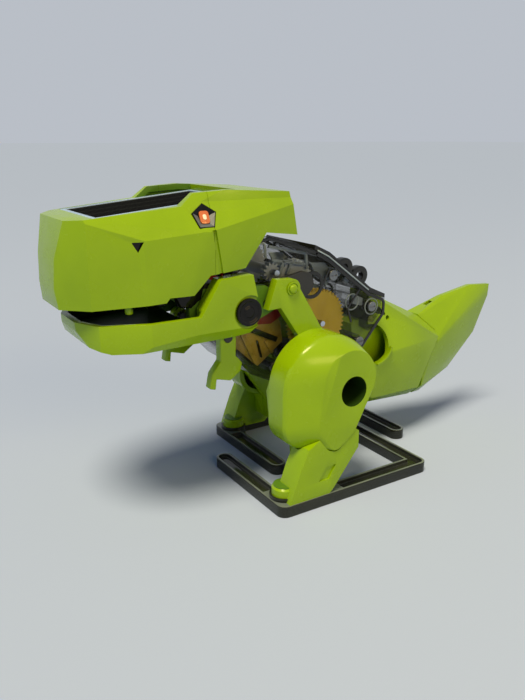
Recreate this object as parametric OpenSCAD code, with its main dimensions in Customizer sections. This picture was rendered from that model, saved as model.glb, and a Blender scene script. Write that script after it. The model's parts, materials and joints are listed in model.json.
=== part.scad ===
// Walking dinosaur robot kit: a solar-charged gearbox on two crank-driven legs.
// Millimetres, +Z up, snout toward -Y, the robot's left toward +X, floor at Z = 0.

/* [Stance] */
// Height of the lower crank axle above the floor
hip_z = 41; // [38:0.5:46]
// Distance between the lower and upper crank axles
axle_span = 38.5; // [37.5:0.1:38.9]
// Forward lean of the line from lower to upper axle, degrees
axle_lean = 23.9; // [22:0.1:26]
// Crank throw, axle centre to pin centre
crank_throw = 7.5; // [5:0.1:8]

/* [Gearbox] */
// Clear width between the two side plates
cavity_w = 28.4; // [28:0.2:32]
// Thickness of a side plate
plate_t = 1.8; // [1.4:0.1:2.4]
// Thickness of a crank arm
crank_t = 2; // [1.6:0.1:2.6]
// Radius of a crank pin
pin_r = 1.6; // [1.4:0.1:2.2]
// Radius of the crank axles
axle_r = 1.5; // [1.2:0.05:1.7]
// Radius of the small gear shafts
shaft_r = 1; // [0.8:0.05:1.1]
// Radial clearance of a shaft or pin that turns in a hole
run_gap = 0.05; // [0.02:0.01:0.08]
// Side gap between parts that pass each other
side_gap = 0.6; // [0.4:0.05:0.9]

/* [Gears] */
// Gear module
gear_m = 0.5; // [0.48:0.01:0.51]
// Teeth of each crank gear
crank_teeth = 30; // [28:2:32]
// Face width of a gear
face_w = 2.6; // [2:0.1:3]

/* [Motor] */
// Diameter of the motor can
motor_d = 15.4; // [13:0.2:15.8]
// Length of the motor can
motor_len = 17; // [14:0.5:17.5]

/* [Legs] */
// Thickness of a leg plate
leg_t = 3.5; // [2.5:0.1:4]
// Depth of the thigh shell, from leg plate to outer face
thigh_depth = 15.8; // [14:0.2:17]
// Wall of the thigh shell
thigh_wall = 2; // [1.5:0.1:2.6]
// Radius of the round window in the thigh
window_r = 5.5; // [4.5:0.1:6]
// Length of a foot between its bar centre lines
foot_len = 62; // [56:1:66]
// Width of a foot bar
bar_w = 6.6; // [4.5:0.1:7.5]
// Height of a foot bar
bar_h = 4.2; // [3:0.1:4.5]
// How far a foot bar reaches past the centre line
bar_reach = 7.4; // [5:0.1:10]

/* [Head] */
// Half width of the head at its widest
head_half = 24.5; // [24:0.1:26]
// Wall of the head shells
head_wall = 2; // [1.6:0.1:2.4]
// Width of the solar panel
panel_w = 33; // [31:0.5:35]
// Length of the solar panel
panel_len = 47.6; // [42:0.2:49]

/* [Jaw] */
// Half width of the jaw at its ears
jaw_half = 25.5; // [25:0.1:27]
// Wall of the jaw tray
jaw_wall = 2; // [1.6:0.1:2.4]
// Radius of a jaw pin
jaw_pin_r = 2.4; // [1.8:0.1:2.8]
// Radius of the cap on a jaw pin
jaw_cap_r = 4.8; // [4:0.1:5.2]

/* [Tail] */
// Half width of the tail where it meets the body
tail_half = 14.5; // [12:0.5:15.5]
// Wall of the tail base
tail_wall = 2; // [1.6:0.1:2.4]

/* [Hidden] */
$fn = 48;
eps = 0.01;

// Colours of the mouldings
lime = "#8cb51e";
smoke = "#30343a";

// Side layers, measured out from the middle
in_x = cavity_w / 2;
plate_x = in_x + plate_t;
crank_x = plate_x + side_gap;
crank_out = crank_x + crank_t;
leg_x = crank_out + side_gap;
leg_out = leg_x + leg_t;
thigh_out = leg_out + thigh_depth;
ear_in = plate_x + 4;
neck_out = plate_x + 2.8;
arm_gap = 0.3;

// Length of the robot: the head and tail reach these far from the hip
snout_y = -98.9;
tail_end = 102.7;
hip_y = -(snout_y + tail_end) / 2;

// Mechanism centres [y, z], measured from the lower axle
lower_c = [0, 0];
upper_c = axle_span * [-sin(axle_lean), cos(axle_lean)];
function polar(r, a) = r * [cos(a), sin(a)];
function pitch_r(n) = gear_m * n / 2;
// The idler is just large enough to reach both crank gears
idler_teeth = ceil(axle_span / gear_m) - crank_teeth + 1;
mesh_c = pitch_r(crank_teeth + idler_teeth);
idler_off = sqrt(mesh_c * mesh_c - axle_span * axle_span / 4);
idler_c = upper_c / 2 + idler_off * [cos(axle_lean), sin(axle_lean)];
second_small = 12;
second_big = 32;
first_small = 12;
first_big = 36;
pinion_teeth = 10;
second_dir = 155;
first_dir = 239;
motor_dir = 267;
second_c = upper_c + polar(pitch_r(crank_teeth + second_small), second_dir);
first_c = second_c + polar(pitch_r(second_big + first_small), first_dir);
motor_c = first_c + polar(pitch_r(first_big + pinion_teeth), motor_dir);

// Gear layers, the low X of each
near_layer = in_x - 1.3 - face_w;
middle_layer = -in_x + 1.2 + 2 * (face_w + 0.5);
far_layer = -in_x + 1.2;

// Where the jaw and the arms turn
jaw_c = [upper_c[0] - 26.1, upper_c[1] - 5.2];
arm_c = [jaw_c[0] - 4.8, jaw_c[1] - 9.4];

// Solar panel: front edge, slope and thickness
panel_y = -88.2;
panel_z = 61;
panel_tilt = 5.4;
board_t = 1.6;
cell_t = 0.5;
bezel_w = 1.4;
bezel_h = 0.8;
panel_gap = 0.2;
ledge_t = 1.4;
seam_y = -53;
seam_gap = 0.12;

// Gear teeth
pressure = 25;
addendum = 0.8;
dedendum = 1.1;
backlash = 0.1;
function inv(a) = tan(a) * 180 / PI - a;
function tooth_half(n, r) =
  let (rp = pitch_r(n), rb = rp * cos(pressure), thick = PI * gear_m / 2 - backlash / 2)
  thick / (2 * rp) * 180 / PI + inv(pressure) - inv(acos(min(1, rb / r)));
function tooth(n, a) =
  let (rp = pitch_r(n), rb = rp * cos(pressure), rf = rp - dedendum * gear_m,
       ra = rp + addendum * gear_m, rs = max(rb, rf), steps = [0, 0.35, 0.7, 1],
       foot = rs > rf + eps ? [[rf, tooth_half(n, rs)]] : [],
       side = concat(foot, [for (k = steps) [rs + (ra - rs) * k, tooth_half(n, rs + (ra - rs) * k)]]),
       last = len(side) - 1)
  concat([for (i = [0:last]) polar(side[i][0], a - side[i][1])],
         [for (i = [last:-1:0]) polar(side[i][0], a + side[i][1])]);
function frac(x) = x - floor(x);
function heading(a, b) = atan2(b[1] - a[1], b[0] - a[0]);
function mesh_phase(ca, na, pa, cb, nb) =
  let (t = heading(ca, cb)) t + 180 + 360 / nb * (0.5 + frac((t - pa) * na / 360));
upper_phase = 0;
idler_phase = mesh_phase(upper_c, crank_teeth, upper_phase, idler_c, idler_teeth);
lower_phase = mesh_phase(idler_c, idler_teeth, idler_phase, lower_c, crank_teeth);
second_small_phase = mesh_phase(upper_c, crank_teeth, upper_phase, second_c, second_small);
second_big_phase = 0;
first_small_phase = mesh_phase(second_c, second_big, second_big_phase, first_c, first_small);
first_big_phase = 0;
pinion_phase = mesh_phase(first_c, first_big, first_big_phase, motor_c, pinion_teeth);

// A half outline and its mirror image across the middle
function mirrored(half) =
  concat(half, [for (i = [len(half) - 1:-1:0]) [-half[i][0], half[i][1]]]);

// An outline listed clockwise, turned round so that it joins its neighbours
function reversed(points) = [for (i = [len(points) - 1:-1:0]) points[i]];

// A flat shape drawn in (y, z) and thickened from x0 to x1
module slab(x0, x1) translate([x0, 0, 0]) rotate([90, 0, 90]) linear_extrude(x1 - x0) children();
module rod(x0, x1, r, c) translate([x0, c[0], c[1]]) rotate([0, 90, 0]) cylinder(h = x1 - x0, r = r);
module spot(c, r) translate(c) circle(r);
module body_frame() translate([0, hip_y, hip_z]) children();
module flip(side) mirror([side < 0 ? 1 : 0, 0, 0]) children();
// The left leg stands one throw ahead of the axles and the right leg one throw behind
module leg_frame(side)
  translate([0, hip_y - side * crank_throw, hip_z]) flip(side) children();

module gear(n, x0, w, c, phase, bore)
  difference() {
    translate([0, c[0], c[1]]) slab(x0, x0 + w)
      polygon([for (i = [0:n - 1]) each tooth(n, phase + i * 360 / n)]);
    rod(x0 - 1, x0 + w + 1, bore, c);
  }

// ---- Gearbox ----
post_r = 2.4;
screw_r = 1.1;
screw_head_r = 1.9;
screw_head_t = 0.9;
// How deep a screw bites
screw_in = 6;
arm_peg_r = 1.5;
tab_y = [-44, -37];
// Top of the tab that carries the skull shell, just under the panel ledge
function panel_under(y) = panel_z + (y - panel_y) * tan(panel_tilt) - (board_t + ledge_t) / cos(panel_tilt);
neck_post = [-40, 40];
open_posts = [[-26, 6], [18, 22.5], [12.5, 9.5], [-1, 36.5]];
posts = concat([neck_post], open_posts);

module side_outline() {
  polygon(reversed([[-44.8, 43], [tab_y[0], panel_under(tab_y[0])], [tab_y[1], panel_under(tab_y[1])],
           [-36.5, 51], [-27.8, 52.5], [-9.3, 46.4], [-3.2, 43], [16.9, 28], [24.8, 25],
           [24.8, 19], [14.2, 7], [7, -1], [-6.5, -1], [-13.8, 1], [-28.3, 1.2],
           [-35.8, 5], [-44.8, 15]]));
  spot(lower_c, axle_r + 5);
  spot(arm_c, arm_peg_r + 2.1);
}

module side_holes(x0, x1) {
  rod(x0, x1, axle_r + run_gap, upper_c);
  rod(x0, x1, axle_r + run_gap, lower_c);
  for (c = [idler_c, second_c, first_c]) rod(x0, x1, shaft_r + run_gap, c);
  for (c = posts) rod(x0, x1, screw_r, c);
}

module gearbox_side(side)
  color(smoke) body_frame() flip(side) difference() {
    slab(in_x, plate_x) side_outline();
    side_holes(in_x - 1, plate_x + 1);
    rod(in_x - 1, plate_x + 1, arm_peg_r, arm_c);
  }

module gearbox_spacers()
  color(smoke) body_frame() for (c = posts) difference() {
    rod(-in_x, in_x, post_r, c);
    for (s = [-1, 1]) flip(s) rod(in_x - screw_in, in_x + 1, screw_r, c);
  }

module gearbox_screws()
  color("silver") body_frame() for (s = [-1, 1], c = posts) flip(s) {
    rod(in_x - screw_in, plate_x, screw_r, c);
    difference() {
      rod(plate_x, plate_x + screw_head_t, screw_head_r, c);
      translate([plate_x + screw_head_t / 2, c[0] - 1.4, c[1] - 0.25]) cube([2, 2.8, 0.5]);
    }
  }

cover_t = 1.6;
module chest_cover()
  color(smoke) body_frame() difference() {
    slab(-in_x, in_x)
      polygon([[-44.8, 34], [-44.8, 15], [-35.8, 5], [-28.3, 1.2], [-16, 1.2],
               [-16, 1.2 + cover_t], [-28, 1.2 + cover_t], [-35, 5 + cover_t * 1.2],
               [-44.8 + cover_t, 15.6], [-44.8 + cover_t, 34]]);
    for (x = [-8:4:8]) translate([x - 1, -46, 19]) cube([2, 4, 9]);
  }

rail_t = 1.6;
lug_r = 4;
lug_bore_r = 1.7;
lug_t = 3;
lugs = [[16.4, 35.1], [24.2, 31.2]];
module spine_frame()
  color(smoke) body_frame() {
    difference() {
      slab(-plate_x, plate_x)
        polygon([[-9.3, 46.4], [-3.2, 43], [16.9, 28], [24.8, 25],
                 [24.8, 25 + rail_t], [17.6, 28 + rail_t * 1.1], [-2.4, 43 + rail_t * 1.2],
                 [-8.9, 46.4 + rail_t]]);
      for (y = [-1.5, 6.5]) translate([-in_x + 3, y, 20]) cube([cavity_w - 6, 5, 30]);
    }
    difference() {
      slab(-lug_t / 2, lug_t / 2) {
        for (c = lugs) spot(c, lug_r);
        polygon([[12.7, 33.2], [12.7, 31.8], [17.2, 28.9], [25.2, 26.2], [27.4, 29], lugs[1], lugs[0]]);
      }
      for (c = lugs) rod(-lug_t, lug_t, lug_bore_r, c);
    }
  }

module rear_yoke()
  color(smoke) body_frame() difference() {
    slab(-in_x, in_x) polygon([[20.8, 15], [24.8, 19], [24.8, 25 - eps], [20.8, 26]]);
    slab(-in_x + 4, in_x - 4) polygon([[20, 17.5], [26, 20.5], [26, 23.2], [20, 23.6]]);
  }

// ---- Motor ----
can_x = near_layer - motor_len - 0.9;
motor_flat = 0.78;
cap_t = 1.6;
module motor_can()
  color("silver") body_frame() difference() {
    intersection() {
      rod(can_x, can_x + motor_len, motor_d / 2, motor_c);
      translate([can_x - 1, motor_c[0] - motor_d, motor_c[1] - motor_d * motor_flat / 2])
        cube([motor_len + 2, 2 * motor_d, motor_d * motor_flat]);
    }
    rod(can_x - 1, can_x + motor_len + 1, shaft_r + 0.3, motor_c);
  }

module motor_end_cap()
  color("white") body_frame() difference() {
    rod(can_x + motor_len, can_x + motor_len + cap_t, motor_d / 2 - 0.6, motor_c);
    rod(can_x + motor_len - 1, can_x + motor_len + 0.9, shaft_r + 0.3, motor_c);
    terminal_tabs();
  }

tab_x = can_x + motor_len + 0.4;
tab_out = 2;
module terminal_tabs()
  for (dz = [-3, 3]) translate([tab_x, motor_c[0] - motor_d / 2 - tab_out, motor_c[1] + dz - 0.75])
    difference() {
      cube([0.6, tab_out + 1.6, 1.5]);
      translate([-1, 0.5, 0.5]) cube([3, 0.7, 0.5]);
    }
module motor_terminals() color("gold") body_frame() terminal_tabs();

// ---- Neck ----
palate_z = 38;
palate_t = 1.6;
// Radii of the two ends of a crank arm
crank_boss = 4.4;
crank_eye = pin_r + 1.5;
crank_reach = crank_throw + crank_eye;
module neck_bracket(side)
  color("#5d8a1e") body_frame() flip(side) difference() {
    slab(plate_x, neck_out) polygon([
      [-60, palate_z - 10], [-60, palate_z], [-46, palate_z], [-39, palate_z - 0.8],
      [-31.5, palate_z - 1.4], [upper_c[0] - crank_reach - side_gap, 34],
      [upper_c[0] - crank_reach - side_gap, 28], [-33, 25.5], [-37.5, 24], [jaw_c[0] - 4, 24],
      [-50, 27]]);
    rod(plate_x - 1, neck_out + 1, jaw_pin_r, jaw_c);
    rod(plate_x - 1, neck_out + 1, shaft_r + 0.5, first_c);
  }

jaw_cap_t = 1.1;
jaw_cap_gap = 0.1;
jaw_sink = 1.1;
module jaw_pin(side)
  color("black") body_frame() flip(side) {
    rod(plate_x, jaw_half - jaw_sink + jaw_cap_gap + eps, jaw_pin_r, jaw_c);
    rod(jaw_half - jaw_sink + jaw_cap_gap, jaw_half - jaw_sink + jaw_cap_gap + jaw_cap_t, jaw_cap_r, jaw_c);
  }

// ---- Head ----
// low drops the underside, to hollow the shell from below
module head_profile(low)
  polygon([[-69.5, 36 - low], [-98.2, 34.7 - low], [snout_y, 41], [-98.3, 50], [-95.7, 61.2],
           [-62.1, 64.2], [-57.5, 67.9], [-46, 68.5], [-22.9, 67.2], [-20.2, 53 - low],
           [-33.2, 54.7 - low], [-41.7, 44.1 - low], [-54.7, 43.1 - low], [-60.4, 37.4 - low],
           [-68.3, 37.4 - low]]);
head_half_plan = [[head_half - 3.5, -20], [head_half, seam_y - 2], [head_half - 2, -75],
                  [head_half - 7, -91], [head_half - 16.5, snout_y]];
// The upper facet leans in above a line that runs down from the eye to the snout
brow_y = -56;
brow_z = 56.5;
brow_drop = 0.285;
head_half_section = [[head_half - 1.5, 20], [head_half, brow_z], [head_half - 4.4, 65.3], [head_half - 5, 70]];

module head_solid(inset, low)
  difference() {
    intersection() {
      slab(-40, 40) offset(delta = -inset) head_profile(low);
      linear_extrude(100) offset(delta = -inset) polygon(mirrored(head_half_plan));
      rotate([90, 0, 0]) linear_extrude(120) offset(delta = -inset) polygon(mirrored(head_half_section));
    }
    for (s = [-1, 1]) flip(s) translate([head_half, brow_y, brow_z])
      rotate([0, -atan2(0.5, norm([1, 0.5 * brow_drop])), -atan(0.5 * brow_drop)])
        translate([-inset, -100, -100]) cube([60, 200, 200]);
  }

module panel_frame() translate([0, panel_y, panel_z]) rotate([panel_tilt, 0, 0]) children();
module panel_block(dx, dy, z0, z1)
  panel_frame() translate([-panel_w / 2 - dx, -dy, z0]) cube([panel_w + 2 * dx, panel_len + 2 * dy, z1 - z0]);

eye_c = [-55.4, 61];
eye_r = 4.4;
eye_lean = atan(5 / 10);
eye_deep = 1.4;
nostril_c = [-77.3, 53.8];
nostril_r = 2;
cheek_w = 1.4;
cheek_deep = 0.7;
module eye_frame(side)
  flip(side) translate([head_half - (eye_c[1] - brow_z) / 2, eye_c[0], eye_c[1]])
    rotate([0, 90 - eye_lean, 0]) children();
module eye_pocket() translate([0, 0, -eye_deep]) rotate(180) cylinder(h = 5, r = eye_r, $fn = 5);
module eye_boss() translate([0, 0, -eye_deep - 1.6]) cylinder(h = 2, r = eye_r + 0.6, $fn = 5);

module head_shells() {
  difference() {
    union() {
      difference() {
        head_solid(0, 0);
        head_solid(head_wall, 30);
      }
      intersection() {
        head_solid(eps, 0);
        difference() {
          panel_block(head_half, 1.2, -board_t - ledge_t, -board_t);
          panel_block(-4, -4, -board_t - ledge_t - 1, 0);
        }
      }
      intersection() {
        head_solid(eps, 0);
        for (s = [-1, 1]) eye_frame(s) eye_boss();
      }
    }
    panel_block(panel_gap, panel_gap, -board_t, 14);
    for (s = [-1, 1]) {
      eye_frame(s) eye_pocket();
      flip(s) translate([head_half - 3.2, nostril_c[0], nostril_c[1]]) rotate([0, 90, 0])
        cylinder(h = 9, r = nostril_r, $fn = 3);
      // cheek groove, from the eye down to the lower edge
      flip(s) difference() {
        slab(head_half - 6, head_half + 1) polygon([
          [seam_y - 1, 57], [seam_y + 1.6, 42], [seam_y + 1.6 + cheek_w, 42], [seam_y - 1 + cheek_w, 57]]);
        head_solid(cheek_deep, 30);
      }
    }
  }
}

module snout_shell()
  color(lime) body_frame() intersection() {
    head_shells();
    translate([-50, -150, 0]) cube([100, 150 + seam_y - seam_gap / 2, 100]);
  }
module skull_shell()
  color(lime) body_frame() intersection() {
    head_shells();
    translate([-50, seam_y + seam_gap / 2, 0]) cube([100, 100, 100]);
  }

module head_frame()
  color("#202326") body_frame() {
    intersection() {
      head_solid(head_wall + eps, 30);
      translate([-30, -98, palate_z]) cube([60, 40, palate_t]);
    }
    translate([-neck_out, -58.5, palate_z]) cube([2 * neck_out, 9, palate_t]);
  }

mouth_peg_at = [head_half - 8.5, -79];
mouth_peg_h = 5.6;
module mouth_pegs()
  color(lime) body_frame() for (s = [-1, 1]) flip(s)
    translate([mouth_peg_at[0], mouth_peg_at[1], palate_z - mouth_peg_h]) cylinder(h = mouth_peg_h, r = 1.2);

module solar_panel()
  color("#15171c") body_frame() panel_block(0, 0, -board_t, 0);
module panel_bezel()
  color("#c9d6e2") body_frame() difference() {
    panel_block(0, 0, 0, bezel_h);
    panel_block(-bezel_w, -bezel_w, -1, bezel_h + 1);
  }
module solar_cells()
  color("#0b0d14") body_frame() panel_block(-bezel_w - 0.1, -bezel_w - 0.1, 0, cell_t);

module eye_lenses()
  color("orange") body_frame() for (s = [-1, 1]) eye_frame(s)
    translate([0, 0, -eye_deep]) linear_extrude(0.9) square([4.4, 3.4], center = true);

// ---- Tail ----
tongue_half = 6;
scoop_c = [24, 5.5];
scoop_r = 7.6;
rib_t = 1.4;
module tail_section(y0, y1, top, mid, low, half)
  translate([0, y1, 0]) rotate([90, 0, 0]) linear_extrude(y1 - y0)
    polygon([[-half * 0.35, top], [half * 0.35, top], [half, mid], [half * 0.8, low + 5], [half * 0.25, low],
             [-half * 0.25, low], [-half * 0.8, low + 5], [-half, mid]]);

module tail_base_solid(inset)
  hull() {
    tail_section(25.4, 26, 25 - inset, 1, -23 + inset, tail_half - inset);
    tail_section(20, 21, 4 - inset, -1, -20.5 + inset, tail_half - inset);
    tail_section(53, 53.6, 12 - inset, -4, -24.6 + inset, tail_half - 3.5 - inset);
    tail_section(62.4, 63, 7.4 - inset, 2, -5, tail_half - 5 - inset);
  }

// The tongue that slips between the side plates and carries the tail
module tail_tongue()
  slab(-tongue_half, tongue_half) difference() {
    polygon([[17, 13.4], [20.4, 17.2], [20.4, 26.4], [25, 26.4], [32, 23], [36, 14], [36, -10], [26, -14],
             [19, -6]]);
    translate([18.6, 14.6]) square([7, 13]);
  }
module bracket_plate(gap)
  slab(tongue_half, tongue_half + 2 + gap) offset(delta = gap)
    polygon([[20.8, 12], [24, 10], [31, 11], [33, 16], [30, 19], [24.8, 18.2], [20.8, 14.6]]);
module tail_bracket() color(smoke) body_frame() for (s = [-1, 1]) flip(s) bracket_plate(0);

module tail_base()
  color(lime) body_frame() {
    difference() {
      tail_base_solid(0);
      difference() {
        hull() {
          tail_section(21.6, 22, 3 - tail_wall, -1, -19.5 + tail_wall, tail_half - tail_wall);
          tail_section(50, 50.6, 12.5 - tail_wall, -4, -24 + tail_wall, tail_half - 3.5 - tail_wall);
          tail_section(27.4, 28, 23.5 - tail_wall, 1, -22.6 + tail_wall, tail_half - tail_wall);
        }
        slab(-rib_t / 2, rib_t / 2) translate([0, -30]) square([80, 70]);
      }
      rod(-30, 30, scoop_r, scoop_c);
      for (s = [-1, 1]) flip(s) rod(tail_half * 0.2, 30, 1, [34, 14]);
      slab(-plate_x - 1, plate_x + 1) polygon([[10, -1.5], [16.5, 8.4], [26.2, 18], [26.2, 30], [0, 30]]);
      for (s = [-1, 1]) flip(s) bracket_plate(0.1);
    }
    difference() {
      tail_tongue();
      for (c = open_posts) rod(-tongue_half - 1, tongue_half + 1, post_r + 0.2, c);
    }
  }

tip_gap = 0.3;
module tail_tip()
  color(lime) body_frame() difference() {
    hull() {
      slab(-1, 1) polygon([[60, 13.2], [71.6, 17.2], [89.7, 20.2], [tail_end, 19.3], [tail_end - 0.3, 14],
                           [94.8, -2.5], [79.5, -17.2], [62, -25.2]]);
      tail_section(56, 56.6, 11.5, -4, -24.6, tail_half - 4.5);
    }
    translate([0, tip_gap, 0]) tail_base_solid(0);
    translate([0, 64, 17]) rotate([-32, 0, 0]) translate([-1, -6, -3]) cube([2, 12, 3]);
  }

// ---- Wires, soldered to the panel and the motor ----
wire_r = 0.55;
wire_sides = 8;
function wire_ring(p, q, x) =
  let (d = q - p, n = norm(d), t = [-d[1], d[0]] / n)
  [for (k = [0:wire_sides - 1]) let (a = 360 * k / wire_sides)
    [x + wire_r * cos(a), p[0] + t[0] * wire_r * sin(a), p[1] + t[1] * wire_r * sin(a)]];
module wire(path, x) {
  n = len(path);
  rings = [for (i = [0:n - 1])
    let (a = path[max(0, i - 1)], b = path[min(n - 1, i + 1)])
    [for (v = wire_ring(path[i], path[i] + (b - a), x)) v]];
  polyhedron(
    points = [for (r = rings) each r],
    faces = concat(
      [[for (k = [wire_sides - 1:-1:0]) k]],
      [for (i = [0:n - 2], k = [0:wire_sides - 1])
        let (k2 = (k + 1) % wire_sides)
        [i * wire_sides + k, i * wire_sides + k2, (i + 1) * wire_sides + k2, (i + 1) * wire_sides + k]],
      [[for (k = [0:wire_sides - 1]) (n - 1) * wire_sides + k]]));
}
function wire_path(dz) = [
  [-47, panel_under(-47) + ledge_t - 0.1], [-47, 58], [-46.2, 54], [-44, 49], [-43.5, 44],
  [-43.4, 38.6], [-42.4, 34.5], [-41.9, 30], [-41.9, 27], [-42, motor_c[1] + dz + 1.4],
  [motor_c[0] - motor_d / 2 - tab_out + 0.6, motor_c[1] + dz + 0.75 + wire_r]];
module wire_red() color("firebrick") body_frame() wire(wire_path(3), tab_x + 0.3);
module wire_black() color("#1a1a1a") body_frame() wire(wire_path(-3), tab_x - 1.4);

// ---- Jaw ----
lip_z = jaw_c[1] + 0.6;
jaw_back = -53.6;
ear_front = -58;
module jaw_profile()
  polygon([jaw_c + [4.4, -3], jaw_c + [3.1, 5], jaw_c + [1.5, 12.2], jaw_c + [-10.3, 11.6],
           [jaw_c[0] - 17.3, lip_z], [-93.4, lip_z - 0.8], [-93.2, 27], [-91, 22.7], [-86, 21.1],
           [-76, 21.2], jaw_c + [-4.3, -8], jaw_c + [1.2, -7.4]]);
jaw_half_plan = [[jaw_half, -30], [jaw_half, -60], [jaw_half - 1.5, -75], [jaw_half - 8.5, -89],
                 [jaw_half - 18.5, -93.4]];
jaw_half_section = [[jaw_half - 3.5, 20.4], [jaw_half, 25.2], [jaw_half, 50]];
jaw_inner_section = [[jaw_half - 3 - jaw_wall, 10], [jaw_half - 3 - jaw_wall, 22.4],
                     [jaw_half - jaw_wall, 26.8], [jaw_half - jaw_wall, 60]];

module jaw_shell()
  color(lime) body_frame() difference() {
    intersection() {
      slab(-40, 40) jaw_profile();
      linear_extrude(100) polygon(mirrored(jaw_half_plan));
      rotate([90, 0, 0]) linear_extrude(120) polygon(mirrored(jaw_half_section));
    }
    // trough, open upward
    intersection() {
      slab(-40, 40) polygon([[jaw_back + eps, 23.7], [-82.6, 23.8], [-86.5, 24.6], [-89.8, 26.6],
                             [-91.2, 29.4], [-91.8, 50], [jaw_back + eps, 50]]);
      union() {
        linear_extrude(100) intersection() {
          offset(delta = -jaw_wall) polygon(mirrored(jaw_half_plan));
          translate([-50, -120]) square([100, 120 + ear_front]);
        }
        translate([-ear_in, ear_front - eps, 0]) cube([2 * ear_in, 60, 60]);
      }
      rotate([90, 0, 0]) linear_extrude(120) polygon(mirrored(jaw_inner_section));
    }
    // clear of the chest behind the trough
    translate([-ear_in, jaw_back, 0]) cube([2 * ear_in, 40, 60]);
    for (s = [-1, 1]) flip(s) {
      rod(ear_in - 1, jaw_half + 1, jaw_pin_r + run_gap, jaw_c);
      rod(jaw_half - jaw_sink, jaw_half + 1, jaw_cap_r + 0.8, jaw_c);
    }
  }

// ---- Arms ----
arm_t = 3.4;
arm_x = plate_x + arm_gap;
module arm_outline() {
  spot([0, 0], arm_peg_r + 1.5);
  polygon([[-arm_peg_r - 1.5, 0], [-3, -7.6], [-6.2, -11.6], [-7.2, -16.6], [-5, -17.2], [-4.6, -13.6],
           [0.7, -15], [4.7, -12.1], [5.3, -9.4], [3.9, -7.6], [2.8, -6.6], [arm_peg_r + 1.5, 0]]);
}
module arm(side)
  color(lime) body_frame() flip(side) difference() {
    translate([0, arm_c[0], arm_c[1]]) slab(arm_x, arm_x + arm_t) arm_outline();
    rod(arm_x - 1, arm_x + arm_t + 1, arm_peg_r + run_gap, arm_c);
  }
module arm_peg(side)
  color("#202326") body_frame() flip(side) rod(in_x, arm_x + arm_t + 0.1, arm_peg_r, arm_c);

// ---- Cranks ----
pin_end = leg_out + 0.2;
upper_cap_r = 2.3;
upper_cap_t = 0.9;
cap_r = 3.4;
low_cap_t = 4;
module crank_axle(c) color("silver") body_frame() rod(-crank_out + 0.4, crank_out - 0.4, axle_r, c);
module crank_gear(c, phase)
  color("ivory") body_frame() gear(crank_teeth, near_layer, face_w, c, phase, axle_r);
module crank_arms(c)
  color("#202326") body_frame() for (s = [-1, 1]) flip(s) difference() {
    union() {
      slab(crank_x, crank_out) hull() {
        spot(c, crank_boss);
        spot(c - [s * crank_throw, 0], crank_eye);
      }
      rod(crank_out - eps, pin_end, pin_r, c - [s * crank_throw, 0]);
    }
    rod(crank_x - 1, crank_out - 0.4, axle_r, c);
  }
module upper_caps()
  color(lime) body_frame() for (s = [-1, 1]) translate([0, -s * crank_throw, 0]) flip(s)
    rod(pin_end, pin_end + upper_cap_t, upper_cap_r, upper_c);
module lower_caps()
  color("#202326") body_frame() for (s = [-1, 1]) translate([0, -s * crank_throw, 0]) flip(s)
    difference() {
      rod(pin_end, pin_end + low_cap_t, cap_r, lower_c);
      translate([pin_end + low_cap_t - 1, lower_c[0], lower_c[1]]) rotate([0, 90, 0])
        cylinder(h = 3, r = 1.6, $fn = 6);
    }

// ---- Gear train ----
shaft_out = plate_x + 0.3;
module train_shaft(c) color("silver") body_frame() rod(-shaft_out, shaft_out, shaft_r, c);
module idler_gear()
  color("#d9a514") body_frame() gear(idler_teeth, near_layer, face_w, idler_c, idler_phase, shaft_r);
module hub(x0, x1, c) difference() {
  rod(x0, x1, 2, c);
  rod(x0 - 1, x1 + 1, shaft_r, c);
}
module second_gear()
  color("white") body_frame() {
    gear(second_small, near_layer, face_w, second_c, second_small_phase, shaft_r);
    hub(middle_layer + face_w - eps, near_layer + eps, second_c);
    gear(second_big, middle_layer, face_w, second_c, second_big_phase, shaft_r);
  }
module first_gear()
  color("#7a1518") body_frame() {
    gear(first_small, middle_layer, face_w, first_c, first_small_phase, shaft_r);
    hub(far_layer + face_w - eps, middle_layer + eps, first_c);
    gear(first_big, far_layer, face_w, first_c, first_big_phase, shaft_r);
  }
module motor_shaft()
  color("silver") body_frame() rod(far_layer - 0.4, can_x + motor_len + 0.6, shaft_r, motor_c);
module motor_pinion()
  color("gold") body_frame() gear(pinion_teeth, far_layer, face_w, motor_c, pinion_phase, shaft_r);

// ---- Legs, drawn about the lower pin ----
thigh_discs = [[-6.4, 1.2, 18.6], [-15.5, -10.5, 9.6], [-7.3, -19, 4.5]];
thigh_face = [[-1.5, 4, 11.2], [-6.2, -9.5, 8.6], [-7, -17.5, 3]];
module thigh_outline(inset)
  for (d = thigh_discs) translate([d[0], d[1]]) circle(d[2] - inset, $fn = 32);
module thigh_solid(inset, x0)
  hull() {
    slab(x0, leg_out + thigh_depth * 0.62) thigh_outline(inset);
    slab(x0, thigh_out - inset) hull() for (d = thigh_face)
      translate([d[0], d[1]]) circle(d[2] - inset, $fn = 32);
  }

knob_r = pin_r + 1.7;
boss_r = 2.6;
leg_screws = [[-20.5, -2], [-7.8, -19.6], [-8, -27]];
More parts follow.
